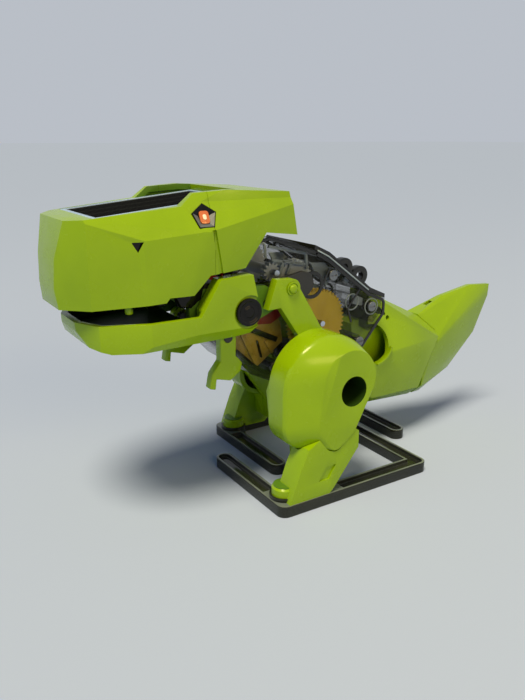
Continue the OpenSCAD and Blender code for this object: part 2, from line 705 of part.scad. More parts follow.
// Clearance of the pivot that is left open in the linkage
open_gap = 0.3;
module leg_plate_outline() {
  spot(upper_c, knob_r);
  spot([0, 0], 7);
  polygon(reversed([upper_c + [-9.6, -6.4], upper_c + [-6.2, 3.6], upper_c + [-0.4, knob_r - 0.04],
           upper_c + [2.6, 2], upper_c + [3.3, -0.4], [-3.4, 20.4], [4, 13], [8.6, 3],
           [6, -8], [0, -17.5], [-2.5, -24], [-7, -31], [-13, -31], [-14, -22], [-23, -9.5],
           [-23.8, -1], [-20.5, 8.6], [-10.6, 15.1], upper_c + [-4.6, -6.2]]));
}
module leg_plate(side)
  color(lime) leg_frame(side) difference() {
    slab(leg_x, leg_out) leg_plate_outline();
    rod(leg_x - 1, leg_out + 1, pin_r + run_gap, upper_c);
    rod(leg_x - 1, leg_out + 1, pin_r + open_gap, [0, 0]);
    for (c = leg_screws) {
      rod(leg_x - 1, leg_out + 1, screw_r, c);
      rod(leg_x - 1, leg_x + screw_head_t + 0.2, screw_head_r + 0.1, c);
    }
  }
module thigh(side)
  color(lime) leg_frame(side) difference() {
    thigh_solid(0, leg_out);
    difference() {
      thigh_solid(thigh_wall, leg_out - 1);
      slab(leg_out - 2, thigh_out + 1) {
        spot([0, 0], window_r + rib_t);
        for (c = [leg_screws[0], leg_screws[1]]) spot(c, boss_r);
        translate([-40, -rib_t / 2]) square([60, rib_t]);
        translate([-13.2, -30]) square([rib_t, 60]);
      }
    }
    rod(leg_out - 1, thigh_out + 1, window_r, [0, 0]);
    for (c = [leg_screws[0], leg_screws[1]]) rod(leg_out - 1, leg_out + screw_in, screw_r, c);
  }

foot_front = -26.3;
foot_top = bar_h - hip_z;
rail_x = thigh_out - bar_w / 2;
toe_at = [thigh_out - 7.5, foot_front + 2.5];
toe_r = 4.5;
toe_h = 4.8;
toe_pad_r = toe_r + 0.8;
// Raised rim and groove on top of a foot bar
rim = 1.1;
groove = 1.4;
shin_in = thigh_out - 9.4;
module shin_outline()
  polygon([[-1.3, -12], [3.3, -15.5], [3.3, -21.8], [-7.4, foot_top + 1.5], [-9, foot_top], [-26, foot_top],
           [-24.2, -31.7], [-21.7, -25], [-18.5, -18], [-12, -14]]);
module shin(side)
  color(lime) leg_frame(side) difference() {
    union() {
      slab(shin_in, thigh_out - 0.4) shin_outline();
      slab(leg_out, shin_in + eps) polygon([[-3, -20], [-3.4, -23], [-7, -31], [-13, -31], [-14.5, -20]]);
      translate([toe_at[0], toe_at[1], foot_top]) {
        cylinder(h = toe_h - 1, r = toe_r);
        translate([0, 0, toe_h - 1]) cylinder(h = 1, r1 = toe_r, r2 = toe_r - 1);
      }
    }
    thigh_solid(-0.2, leg_out - 1);
    rod(leg_out - 1, leg_out + screw_in, screw_r, leg_screws[2]);
    slab(thigh_out - 1, thigh_out + 1) polygon([[-14, -31], [-9.6, -31], [-6.6, -26], [-10.8, -26]]);
  }

// U-shaped foot: a rail under the leg and two bars that reach past the middle
module foot_outline(w) {
  for (y = [foot_front, foot_front + foot_len]) {
    translate([-bar_reach, y - w / 2]) square([rail_x + bar_reach, w]);
    spot([-bar_reach, y], w / 2);
    spot([rail_x, y], w / 2);
  }
  spot(toe_at, toe_pad_r);
  translate([rail_x - w / 2, foot_front]) square([w, foot_len]);
}
module foot(side)
  color(smoke) leg_frame(side) translate([0, 0, -hip_z]) difference() {
    linear_extrude(bar_h) foot_outline(bar_w);
    translate([0, 0, bar_h - groove]) linear_extrude(groove + 1) difference() {
      foot_outline(bar_w - 2 * rim);
      translate([toe_at[0] - toe_pad_r - 1, foot_front - 6]) square([20, 30]);
    }
  }

module leg_screw_set(side)
  color("silver") leg_frame(side) for (c = leg_screws) {
    rod(leg_x + 0.2, leg_x + screw_head_t + 0.2, screw_head_r, c);
    rod(leg_x + screw_head_t + 0.2 - eps, leg_out + screw_in - 0.2, screw_r, c);
  }

gearbox_side(1);  // gearbox_side_left
gearbox_side(-1);  // gearbox_side_right
gearbox_spacers();
gearbox_screws();
chest_cover();
spine_frame();
rear_yoke();
motor_can();
motor_end_cap();
motor_terminals();
neck_bracket(1);  // neck_bracket_left
neck_bracket(-1);  // neck_bracket_right
head_frame();
snout_shell();
skull_shell();
mouth_pegs();
solar_panel();
solar_cells();
panel_bezel();
eye_lenses();
tail_bracket();
tail_base();
tail_tip();
wire_red();
wire_black();
jaw_pin(1);  // jaw_pin_left
jaw_pin(-1);  // jaw_pin_right
arm_peg(1);  // arm_peg_left
arm_peg(-1);  // arm_peg_right
jaw_shell();
arm(1);  // arm_left
arm(-1);  // arm_right
crank_axle(upper_c);  // upper_axle
crank_gear(upper_c, upper_phase);  // upper_gear
crank_arms(upper_c);  // upper_crank_arms
upper_caps();
crank_axle(lower_c);  // lower_axle
crank_gear(lower_c, lower_phase);  // lower_gear
crank_arms(lower_c);  // lower_crank_arms
lower_caps();
train_shaft(idler_c);  // idler_shaft
idler_gear();
train_shaft(second_c);  // second_shaft
second_gear();
train_shaft(first_c);  // first_shaft
first_gear();
motor_shaft();
motor_pinion();
leg_plate(1);  // leg_plate_left
thigh(1);  // thigh_left
shin(1);  // shin_left
foot(1);  // foot_left
leg_screw_set(1);  // leg_screws_left
leg_plate(-1);  // leg_plate_right
thigh(-1);  // thigh_right
shin(-1);  // shin_right
foot(-1);  // foot_right
leg_screw_set(-1);  // leg_screws_right
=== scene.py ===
import json
import math

import bpy
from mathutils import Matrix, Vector

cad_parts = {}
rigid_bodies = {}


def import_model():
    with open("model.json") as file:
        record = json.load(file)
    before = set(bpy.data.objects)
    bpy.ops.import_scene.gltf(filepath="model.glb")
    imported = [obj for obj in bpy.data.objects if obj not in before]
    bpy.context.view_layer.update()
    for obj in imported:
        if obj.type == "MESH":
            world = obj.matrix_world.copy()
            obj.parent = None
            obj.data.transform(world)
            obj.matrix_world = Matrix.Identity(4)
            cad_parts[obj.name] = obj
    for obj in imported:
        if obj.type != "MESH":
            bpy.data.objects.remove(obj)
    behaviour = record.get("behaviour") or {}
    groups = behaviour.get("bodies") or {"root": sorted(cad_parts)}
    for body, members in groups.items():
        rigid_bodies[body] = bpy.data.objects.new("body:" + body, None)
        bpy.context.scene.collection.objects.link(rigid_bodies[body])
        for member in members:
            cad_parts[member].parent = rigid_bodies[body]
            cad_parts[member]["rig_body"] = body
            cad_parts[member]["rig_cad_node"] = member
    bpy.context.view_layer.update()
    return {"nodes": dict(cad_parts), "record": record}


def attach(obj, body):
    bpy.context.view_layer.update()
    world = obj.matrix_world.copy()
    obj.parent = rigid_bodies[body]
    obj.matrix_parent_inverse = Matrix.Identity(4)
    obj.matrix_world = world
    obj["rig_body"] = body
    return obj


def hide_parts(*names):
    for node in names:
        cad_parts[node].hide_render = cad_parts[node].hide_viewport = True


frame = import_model()
nodes = frame["nodes"]
record = frame["record"]
mm = 0.001
sides = {"left": 1, "right": -1}
roundFacets = 48  # facets round each turned piece
squareOn = 0.9  # least share of a face's normal along an axis for it to look that way
print("frame loaded:", len(nodes), "nodes")

# each node's finish and body, and where each joint turns, as (y, z) in millimetres
slotOf = {part["node"]: part["material_slot"] for part in record["subparts"]}
bodyOf = {node: body for body, members in record["behaviour"]["bodies"].items() for node in members}
pivotOf = {joint["name"]: tuple(c / mm for c in joint["pos_m"][1:])
           for joint in record["behaviour"]["joints"]}

upperAxle = pivotOf["crank_spin"]
lowerAxle = pivotOf["lower_crank_spin"]
crankThrow = math.dist(upperAxle, pivotOf["leg_left_turn"])


# the crank pin of one side: the two sides are half a turn apart
def crankPin(axle, side):
    return axle[0] - side * crankThrow, axle[1]


# a node that spans both sides is stood for by the left piece
def leftStandsFor(node, side):
    return (node,) if side > 0 else ()


# shader nodes and the wires between them
def addNode(tree, kind, place, inputs=(), **settings):
    node = tree.nodes.new(kind)
    node.location = place
    for key, value in settings.items():
        setattr(node, key, value)
    for key, value in dict(inputs).items():
        node.inputs[key].default_value = value
    return node


def link(tree, *wires):
    for source, output, target, entry in wires:
        tree.links.new(source.outputs[output], target.inputs[entry])


def plainMaterial(name, colour, roughness, metallic=0.0, coat=0.0, specular=0.5):
    material = bpy.data.materials.new(name)
    material.use_nodes = True
    material.diffuse_color = (*colour, 1)
    shader = material.node_tree.nodes["Principled BSDF"]
    settings = {"Base Color": (*colour, 1), "Roughness": roughness, "Metallic": metallic,
                "Coat Weight": coat, "Coat Roughness": 0.08, "Specular IOR Level": specular}
    for key, value in settings.items():
        shader.inputs[key].default_value = value
    return material, material.node_tree, shader


# scales are about how many patches fit in a metre, and the grain's depth is in millimetres
plasticKit = {"cloud": 55, "smudgesPerCloud": 3.2, "grain": 900, "grainDepth": 0.4,
              "shadeUpTo": 0.35, "colourFrom": 0.62, "wornFrom": 0.35, "wornUpTo": 0.7}


# moulded plastic: clouded colour, worn patches of roughness and a fine moulded skin
def mouldedPlastic(name, colour, shade, roughness, skin=0.04, cloud=plasticKit["cloud"], coat=0.0,
                   metallic=0.0, specular=0.5):
    material, tree, shader = plainMaterial(name, colour, roughness[0], metallic, coat, specular)
    place = addNode(tree, "ShaderNodeTexCoord", (-1100, 0))
    clouds = addNode(tree, "ShaderNodeTexNoise", (-880, 160), {"Scale": cloud, "Detail": 4})
    smudges = addNode(tree, "ShaderNodeTexNoise", (-880, -80),
                      {"Scale": cloud * plasticKit["smudgesPerCloud"], "Detail": 6})
    grain = addNode(tree, "ShaderNodeTexNoise", (-880, -320), {"Scale": plasticKit["grain"], "Detail": 2})
    blend = addNode(tree, "ShaderNodeValToRGB", (-640, 200))
    dark, light = blend.color_ramp.elements
    dark.position = plasticKit["shadeUpTo"]
    dark.color = (*shade, 1)
    light.position = plasticKit["colourFrom"]
    light.color = (*colour, 1)
    polish = addNode(tree, "ShaderNodeMapRange", (-640, -80),
                     {"From Min": plasticKit["wornFrom"], "From Max": plasticKit["wornUpTo"],
                      "To Min": roughness[0], "To Max": roughness[1]})
    bump = addNode(tree, "ShaderNodeBump", (-400, -300),
                   {"Strength": skin, "Distance": plasticKit["grainDepth"] * mm})
    for texture in (clouds, smudges, grain):
        link(tree, (place, "Object", texture, "Vector"))
    link(tree, (clouds, "Fac", blend, "Fac"), (blend, "Color", shader, "Base Color"),
         (smudges, "Fac", polish, "Value"), (polish, "Result", shader, "Roughness"),
         (grain, "Fac", bump, "Height"), (bump, "Normal", shader, "Normal"))
    return material


smokeKit = {"roughness": (0.04, 0.12), "skin": 0.015, "cloud": 70, "specular": 0.35, "blend": 0.32}


# smoked clear moulding: see-through face on, and covering more at a glancing angle
def smokedPlastic(name, colour, shade, clear, edge):
    material = mouldedPlastic(name, colour, shade, smokeKit["roughness"], smokeKit["skin"], smokeKit["cloud"],
                              specular=smokeKit["specular"])
    tree = material.node_tree
    facing = addNode(tree, "ShaderNodeLayerWeight", (-640, 460), {"Blend": smokeKit["blend"]})
    cover = addNode(tree, "ShaderNodeMapRange", (-400, 460), {"To Min": clear, "To Max": edge})
    link(tree, (facing, "Facing", cover, "Value"),
         (cover, "Result", tree.nodes["Principled BSDF"], "Alpha"))
    return material


metalKit = {"cloud": 90, "lineDepth": 0.12, "lines": (2600, 60, 60)}


# turned or drawn metal: fine lines round the axles, which all lie along X
def brushedMetal(name, colour, shade, roughness):
    material = mouldedPlastic(name, colour, shade, roughness, metalKit["lineDepth"], metalKit["cloud"],
                              metallic=1.0)
    tree = material.node_tree
    stretch = addNode(tree, "ShaderNodeMapping", (-1100, -520), {"Scale": metalKit["lines"]})
    lines = addNode(tree, "ShaderNodeTexNoise", (-880, -520), {"Scale": 1})
    link(tree, (tree.nodes["Texture Coordinate"], "Object", stretch, "Vector"),
         (stretch, "Vector", lines, "Vector"), (lines, "Fac", tree.nodes["Bump"], "Height"))
    return material


# each set of lines has its direction, its scale, and the part of a wave from which a line shows
filmKit = {"roughness": 0.45, "lineStrength": 0.35, "lines": (("Y", 260, 0.975), ("X", 36, 0.992))}


# solar cell sheet: dark film with faint finger lines and cell strips across it
def cellFilm(name, colour, line):
    material, tree, shader = plainMaterial(name, colour, filmKit["roughness"], specular=0.0)
    place = addNode(tree, "ShaderNodeTexCoord", (-1200, 0))
    both = addNode(tree, "ShaderNodeMath", (-460, 0), operation="MAXIMUM")
    faint = addNode(tree, "ShaderNodeMath", (-300, 0), {1: filmKit["lineStrength"]}, operation="MULTIPLY")
    for entry, (direction, scale, start) in enumerate(filmKit["lines"]):
        wave = addNode(tree, "ShaderNodeTexWave", (-900, -280 * entry), {"Scale": scale},
                       bands_direction=direction)
        thin = addNode(tree, "ShaderNodeMapRange", (-680, -280 * entry), {"From Min": start})
        link(tree, (place, "Object", wave, "Vector"), (wave, "Fac", thin, "Value"),
             (thin, "Result", both, entry))
    # a colour Mix node takes its share at entry 0 and its colours at 6 and 7
    tint = addNode(tree, "ShaderNodeMix", (-140, 60), {6: (*colour, 1), 7: (*line, 1)}, data_type="RGBA")
    link(tree, (both, 0, faint, 0), (faint, 0, tint, 0), (tint, 2, shader, "Base Color"))
    return material


finishes = {  # slot: material with its name, colour, clouded shade, and roughness from polished to worn
    "lime": mouldedPlastic("limePlastic", (0.235, 0.400, 0.002), (0.214, 0.370, 0.002), (0.2, 0.3),
                           coat=0.12, specular=0.26),
    # painted shade: a darker lime for lime faces that stand in shade, the neck brackets, the head's inner
    # walls and the toe pads
    "dark_green": mouldedPlastic("paintedShadeGreen", (0.085, 0.20, 0.018), (0.072, 0.17, 0.015),
                                 (0.25, 0.36), specular=0.25),
    # painted shade: a near-black green for the deep insides of the head, the jaw's trough and the thigh's
    # window
    "painted_shade_deep_green": mouldedPlastic("paintedShadeDeepGreen", (0.016, 0.042, 0.006), (0.012, 0.032, 0.005), (0.4, 0.5),
                                 specular=0.12),
    "smoke_clear": smokedPlastic("smokedClear", (0.016, 0.020, 0.020), (0.010, 0.013, 0.013), 0.13, 0.8),
    "foot_smoke": smokedPlastic("smokedFoot", (0.022, 0.027, 0.025), (0.012, 0.015, 0.014), 0.88, 1.0),
    "smoke_rim": mouldedPlastic("smokedRim", (0.010, 0.011, 0.012), (0.006, 0.007, 0.008), (0.06, 0.12),
                                0.01),
    # painted highlight: a pale grey on the tops of the feet's rims and on the edges of two gearbox rings
    "painted_highlight_rim": mouldedPlastic("paintedHighlightRim", (0.15, 0.19, 0.23), (0.09, 0.12, 0.15), (0.1, 0.2), 0.01),
    "pale_grey": mouldedPlastic("paleGrey", (0.40, 0.51, 0.68), (0.22, 0.29, 0.40), (0.12, 0.25)),
    "gold_brown": mouldedPlastic("goldBrown", (0.60, 0.45, 0.09), (0.34, 0.26, 0.05), (0.25, 0.4), cloud=160),
    "pupil": mouldedPlastic("paleLens", (0.85, 0.80, 0.76), (0.80, 0.72, 0.66), (0.1, 0.2)),
    "lit_socket_grey": mouldedPlastic("litSocketGrey", (0.11, 0.13, 0.18), (0.08, 0.10, 0.14), (0.25, 0.4)),
    "dark": mouldedPlastic("blackSatin", (0.018, 0.019, 0.021), (0.012, 0.013, 0.014), (0.3, 0.45)),
    "gloss_black": mouldedPlastic("blackGloss", (0.006, 0.006, 0.007), (0.004, 0.004, 0.005), (0.05, 0.1),
                                  0.01, specular=0.22),
    "dull_steel": brushedMetal("dullSteel", (0.24, 0.25, 0.26), (0.16, 0.17, 0.18), (0.25, 0.4)),
    "panel_black": cellFilm("cellFilm", (0.006, 0.007, 0.011), (0.10, 0.12, 0.16)),
    "panel_edge": mouldedPlastic("paleEdge", (0.33, 0.50, 0.95), (0.28, 0.43, 0.85), (0.3, 0.4)),
    "amber": mouldedPlastic("amberLens", (0.60, 0.17, 0.06), (0.46, 0.11, 0.04), (0.1, 0.2)),
    "steel": brushedMetal("brushedSteel", (0.52, 0.57, 0.68), (0.40, 0.44, 0.54), (0.22, 0.36)),
    "white": mouldedPlastic("whiteNylon", (0.50, 0.60, 0.82), (0.42, 0.51, 0.72), (0.35, 0.5)),
    "yellow": mouldedPlastic("yellowNylon", (1.0, 0.78, 0.06), (0.92, 0.68, 0.04), (0.35, 0.5)),
    "dark_red": mouldedPlastic("redNylon", (0.42, 0.020, 0.020), (0.28, 0.012, 0.012), (0.35, 0.5)),
    "brass": brushedMetal("brass", (0.65, 0.42, 0.12), (0.45, 0.28, 0.07), (0.25, 0.4)),
    "red_wire": mouldedPlastic("redLead", (0.50, 0.015, 0.012), (0.38, 0.01, 0.01), (0.35, 0.5)),
    "black_wire": mouldedPlastic("blackLead", (0.012, 0.012, 0.012), (0.008, 0.008, 0.008), (0.35, 0.5)),
}


def paint(piece, slot):
    piece.data.materials.clear()
    piece.data.materials.append(finishes[slot])


# paints the faces that pass the test with a second finish
def paintFaces(piece, slot, test):
    piece.data.materials.append(finishes[slot])
    index = len(piece.data.materials) - 1
    for face in piece.data.polygons:
        if test(face.center, face.normal):
            face.material_index = index


for name, node in nodes.items():
    paint(node, slotOf[name])
print("materials ready:", len(finishes))


# selection and edit mode, as by hand
def putDown():
    if bpy.context.object and bpy.context.object.mode != "OBJECT":
        bpy.ops.object.mode_set(mode="OBJECT")
    bpy.ops.object.select_all(action="DESELECT")


def takeUp(piece):
    putDown()
    piece.select_set(True)
    bpy.context.view_layer.objects.active = piece


def editMode(piece, select="DESELECT", mode="FACE"):
    takeUp(piece)
    bpy.ops.object.mode_set(mode="EDIT")
    bpy.ops.mesh.select_mode(type=mode)
    bpy.ops.mesh.select_all(action=select)


# picks faces by centre and normal, or edges by their two ends, and stays in edit mode
def pickFaces(piece, test):
    editMode(piece)
    bpy.ops.object.mode_set(mode="OBJECT")
    for face in piece.data.polygons:
        face.select = test(face.center, face.normal)
    bpy.ops.object.mode_set(mode="EDIT")


def pickEdges(piece, test):
    editMode(piece, mode="EDGE")
    bpy.ops.object.mode_set(mode="OBJECT")
    points = piece.data.vertices
    for edge in piece.data.edges:
        edge.select = test(points[edge.vertices[0]].co, points[edge.vertices[1]].co)
    bpy.ops.object.mode_set(mode="EDIT")


# turns all faces outwards and leaves edit mode
def faceOutwards():
    bpy.ops.mesh.select_all(action="SELECT")
    bpy.ops.mesh.normals_make_consistent(inside=False)
    bpy.ops.object.mode_set(mode="OBJECT")


def applyModifier(piece, kind, **settings):
    takeUp(piece)
    modifier = piece.modifiers.new(kind.lower(), kind)
    for key, value in settings.items():
        setattr(modifier, key, value)
    bpy.ops.object.modifier_apply(modifier=modifier.name)


# rounds the edges that turn by more than an angle, and shades the rest smooth
def roundEdges(piece, width, segments=3, angle=30, smoothTo=35):
    applyModifier(piece, "BEVEL", width=width * mm, segments=segments, limit_method="ANGLE",
                  angle_limit=math.radians(angle), profile=0.6, miter_outer="MITER_ARC")
    takeUp(piece)
    bpy.ops.object.shade_smooth_by_angle(angle=math.radians(smoothTo))


def cutAway(piece, cutter):
    applyModifier(piece, "BOOLEAN", operation="DIFFERENCE", object=cutter, solver="EXACT")
    bpy.data.objects.remove(cutter)


def join(pieces):
    takeUp(pieces[0])
    for piece in pieces:
        piece.select_set(True)
    if len(pieces) > 1:
        bpy.ops.object.join()
    return bpy.context.object


# names a piece, gives it its finish and body, and hides the nodes that it stands for
def finishPiece(piece, name, slot, body, *stoodFor):
    putDown()
    piece.name = name
    piece.data.name = name
    if not piece.data.materials:
        paint(piece, slot)
    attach(piece, body)
    if stoodFor:
        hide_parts(*stoodFor)


# a cylinder along X at a (y, z) place, or upright at an (x, y) place
def lyingCylinder(place, radius, x0, x1, ends="NGON"):
    putDown()
    bpy.ops.mesh.primitive_cylinder_add(vertices=roundFacets, radius=radius * mm, depth=abs(x1 - x0) * mm,
                                        end_fill_type=ends, rotation=(0, math.pi / 2, 0),
                                        location=((x0 + x1) / 2 * mm, place[0] * mm, place[1] * mm))
    bpy.ops.object.transform_apply(location=True, rotation=True, scale=True)
    return bpy.context.object


def uprightCylinder(place, radius, low, high, ends="NGON"):
    putDown()
    bpy.ops.mesh.primitive_cylinder_add(vertices=roundFacets, radius=radius * mm, depth=(high - low) * mm,
                                        end_fill_type=ends,
                                        location=(place[0] * mm, place[1] * mm, (low + high) / 2 * mm))
    bpy.ops.object.transform_apply(location=True)
    return bpy.context.object


# a disc on an axle along X, its outer face worked in rings of (inset, depth)
def turnedDisc(place, radius, x0, x1, steps=(), rim=0.25):
    piece = lyingCylinder(place, radius, x0, x1)
    outward = 1 if x1 > x0 else -1
    pickFaces(piece, lambda centre, normal: normal.x * outward > squareOn)
    for inset, depth in steps:
        bpy.ops.mesh.inset(thickness=inset * mm, depth=depth * mm)
    bpy.ops.object.mode_set(mode="OBJECT")
    roundEdges(piece, rim)
    return piece


def ring(place, outer, inner, x0, x1, rim=0.12):
    piece = lyingCylinder(place, outer, x0, x1, "NOTHING")
    applyModifier(piece, "SOLIDIFY", thickness=(outer - inner) * mm, offset=-1)
    roundEdges(piece, rim, 2)
    return piece


# a plate from an outline in the side view, as (y, z) points
def drawnPlate(points, x0, x1):
    putDown()
    bpy.ops.mesh.primitive_circle_add(vertices=len(points), radius=mm, fill_type="NGON")
    piece = bpy.context.object
    for vertex, (y, z) in zip(piece.data.vertices, points):
        vertex.co = (x0 * mm, y * mm, z * mm)
    editMode(piece, "SELECT")
    bpy.ops.mesh.extrude_region_move(TRANSFORM_OT_translate={"value": ((x1 - x0) * mm, 0, 0)})
    faceOutwards()
    return piece


# the outline of a bar of even width along a line of points
def strip(points, width):
    near, far = [], []
    for i, (y, z) in enumerate(points):
        before, after = points[max(i - 1, 0)], points[min(i + 1, len(points) - 1)]
        along = Vector((after[0] - before[0], after[1] - before[1])).normalized() * width / 2
        near.append((y + along.y, z - along.x))
        far.append((y - along.y, z + along.x))
    return near + far[::-1]


def arc(middle, radius, start, end, count):
    turns = [math.radians(start + (end - start) * i / (count - 1)) for i in range(count)]
    return [(middle[0] + radius * math.cos(t), middle[1] + radius * math.sin(t)) for t in turns]


mergeKit = {"gap": 0.002, "flat": 0.6}  # mm between doubles, degrees within which faces are one


# a moulding taken over from the frame, with its triangles merged into clean faces
def takeOver(node):
    takeUp(nodes[node])
    bpy.ops.object.duplicate()
    piece = bpy.context.object
    piece.parent = None
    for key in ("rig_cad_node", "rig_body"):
        del piece[key]
    editMode(piece, "SELECT")
    bpy.ops.mesh.remove_doubles(threshold=mergeKit["gap"] * mm)
    bpy.ops.mesh.dissolve_limited(angle_limit=math.radians(mergeKit["flat"]))
    bpy.ops.object.mode_set(mode="OBJECT")
    return piece


mouldings = {  # node: edge radius in mm, segments, angle from which an edge is rounded
    "snout_shell": (0.5, 3, 12),
    "skull_shell": (0.5, 3, 12),
    "jaw_shell": (0.5, 3, 12),
    "tail_base": (0.4, 3, 25),
    "tail_tip": (0.5, 3, 25),
    "arm_left": (0.4, 3, 30),
    "arm_right": (0.4, 3, 30),
    "neck_bracket_left": (0.3, 2, 30),
    "neck_bracket_right": (0.3, 2, 30),
    "leg_plate_left": (0.35, 3, 30),
    "leg_plate_right": (0.35, 3, 30),
    "shin_left": (0.45, 3, 25),
    "shin_right": (0.45, 3, 25),
    "foot_left": (0.3, 3, 30),
    "foot_right": (0.3, 3, 30),
    "gearbox_side_left": (0.2, 2, 30),
    "gearbox_side_right": (0.2, 2, 30),
    "gearbox_screws": (0.25, 3, 40),
    "leg_screws_left": (0.2, 2, 40),
    "leg_screws_right": (0.2, 2, 40),
    "upper_crank_arms": (0.3, 3, 40),
    "lower_crank_arms": (0.3, 3, 40),
    "lower_caps": (0.3, 3, 40),
    "motor_can": (0.5, 3, 40),
    "motor_end_cap": (0.3, 3, 40),
    "mouth_pegs": (0.3, 3, 40),
    "chest_cover": (0.25, 2, 25),
    "spine_frame": (0.25, 2, 25),
    "rear_yoke": (0.25, 2, 25),
    "head_frame": (0.2, 2, 30),
    "solar_panel": (0.15, 2, 30),
    "panel_bezel": (0.2, 2, 30),
}

# painted shade inside the head and jaw, and a painted highlight on the rim of the feet: places in
# millimetres, and the least share of a normal that makes a face turned inward or level
insideKit = {"turnedIn": 0.35, "level": 0.5, "wallFrom": 8, "headTop": 98, "roofFrom": 90,
             "troughTop": 70, "troughSide": 23, "nostril": (-79.2, 94.8), "nostrilReach": 2.1,
             "nostrilFloor": 21.4, "footRim": 4.12, "footRimLevel": 0.8}


def looksInward(centre, normal):
    turnedIn = normal.x * centre.x < 0 and abs(normal.x) > insideKit["turnedIn"]
    return turnedIn and abs(centre.x) > insideKit["wallFrom"] * mm


def liesInHead(centre, normal):
    isRoof = normal.z < -insideKit["level"] and centre.z > insideKit["roofFrom"] * mm
    return centre.z < insideKit["headTop"] * mm and (isRoof or looksInward(centre, normal))


def liesInTrough(centre, normal):
    isBottom = normal.z > insideKit["level"] and centre.z < insideKit["troughTop"] * mm
    return looksInward(centre, normal) or (isBottom and abs(centre.x) < insideKit["troughSide"] * mm)


# the sunk walls of the nostril, which are painted black as painted shade
def liesInNostril(centre, normal):
    away = math.dist((centre.y / mm, centre.z / mm), insideKit["nostril"])
    isSunk = abs(normal.x) < insideKit["level"] or abs(centre.x) < insideKit["nostrilFloor"] * mm
    return away < insideKit["nostrilReach"] and isSunk


# the tops of the feet's rims, which get a painted highlight
def liesOnFootRim(centre, normal):
    return normal.z > insideKit["footRimLevel"] and centre.z > insideKit["footRim"] * mm


secondFinishes = {  # node: finishes painted over the first, each with its test: painted shade inside the head, jaw and nostril, and a painted highlight on the feet's rims
    "snout_shell": (("dark_green", looksInward), ("painted_shade_deep_green", liesInHead), ("gloss_black", liesInNostril)),
    "skull_shell": (("dark_green", looksInward), ("painted_shade_deep_green", liesInHead)),
    "jaw_shell": (("painted_shade_deep_green", liesInTrough),),
    "foot_left": (("painted_highlight_rim", liesOnFootRim),),
    "foot_right": (("painted_highlight_rim", liesOnFootRim),),
}
repainted = {"spine_frame": "smoke_rim", "gearbox_screws": "dull_steel"}
for node, (width, segments, angle) in mouldings.items():
    piece = takeOver(node)
    roundEdges(piece, width, segments, angle)
    if node in repainted:
        paint(piece, repainted[node])
    # painted shade and painted highlights go on here over the first finish
    for slot, test in secondFinishes.get(node, ()):
        paintFaces(piece, slot, test)
    finishPiece(piece, node + "_moulded", slotOf[node], bodyOf[node], node)
print("mouldings rounded:", len(mouldings))


# thigh: a rounded egg, hollow from the leg plate, with a tube round its window, and painted shade inside the
# window
thighKit = {
    # lobes as (y, z, radius) from the lower pin, at the skirt and at the outer face
    "skirt": ((-6.4, 1.2, 18.6), (-15.5, -10.5, 9.6), (-7.3, -19.0, 4.5)),
    "face": ((-1.5, 4.0, 11.2), (-6.2, -9.5, 8.6), (-7.0, -17.5, 3.0)),
    # distance from the middle, and how far the lobes have gone from the skirt to the face
    "rings": ((22.7, 0.0), (31.4, 0.0), (32.5, 0.05), (33.3, 0.145), (37.5, 0.86), (38.2, 0.965),
              (38.5, 1.05)),
    "facets": 56,
    "wall": 2.0,
    "openBy": 1.0,  # how far the hollow runs out past the skirt
    "leastLobe": 0.5,
    "window": 5.5,
    "tube": 6.9,
    "bored": (20, 40),  # the two ends of the bores, clear of the thigh
    "shaded": (23, 38),  # the stretch of the window's bore that is painted dark as painted shade
    "shadedOver": 0.15,
    "boreEdge": 0.01,
    "edge": (0.3, 3, 50, 24),  # width, segments, angle to round from, angle to smooth up to
}
# a dark disc at the bottom of the thigh's window: painted shade
shadeDiscKit = {"outer": 5.45, "inner": 3.6, "from": 22.75, "to": 23.05, "edge": 0.08}


def eggHull(side, pin, inset, rings):
    circles = []
    for x, share in rings:
        for skirt, face in zip(thighKit["skirt"], thighKit["face"]):
            y, z, radius = (a + (b - a) * share for a, b in zip(skirt, face))
            putDown()
            bpy.ops.mesh.primitive_circle_add(
                vertices=thighKit["facets"], radius=max(thighKit["leastLobe"], radius - inset) * mm,
                location=(side * x * mm, (pin[0] + y) * mm, (pin[1] + z) * mm), rotation=(0, math.pi / 2, 0))
            bpy.ops.object.transform_apply(location=True, rotation=True, scale=True)
            circles.append(bpy.context.object)
    hull = join(circles)
    editMode(hull, "SELECT", "VERT")
    bpy.ops.mesh.convex_hull(join_triangles=True, face_threshold=math.radians(1),
                             shape_threshold=math.radians(1))
    faceOutwards()
    return hull


# the hollow is open towards the leg plate and stops a wall short of the face
def hollowRings():
    (mouth, mouthShare), *others = thighKit["rings"][:-2]
    deepest = thighKit["rings"][-1][0] - thighKit["wall"]
    return [(mouth - thighKit["openBy"], mouthShare)] + [(min(x, deepest), share) for x, share in others]


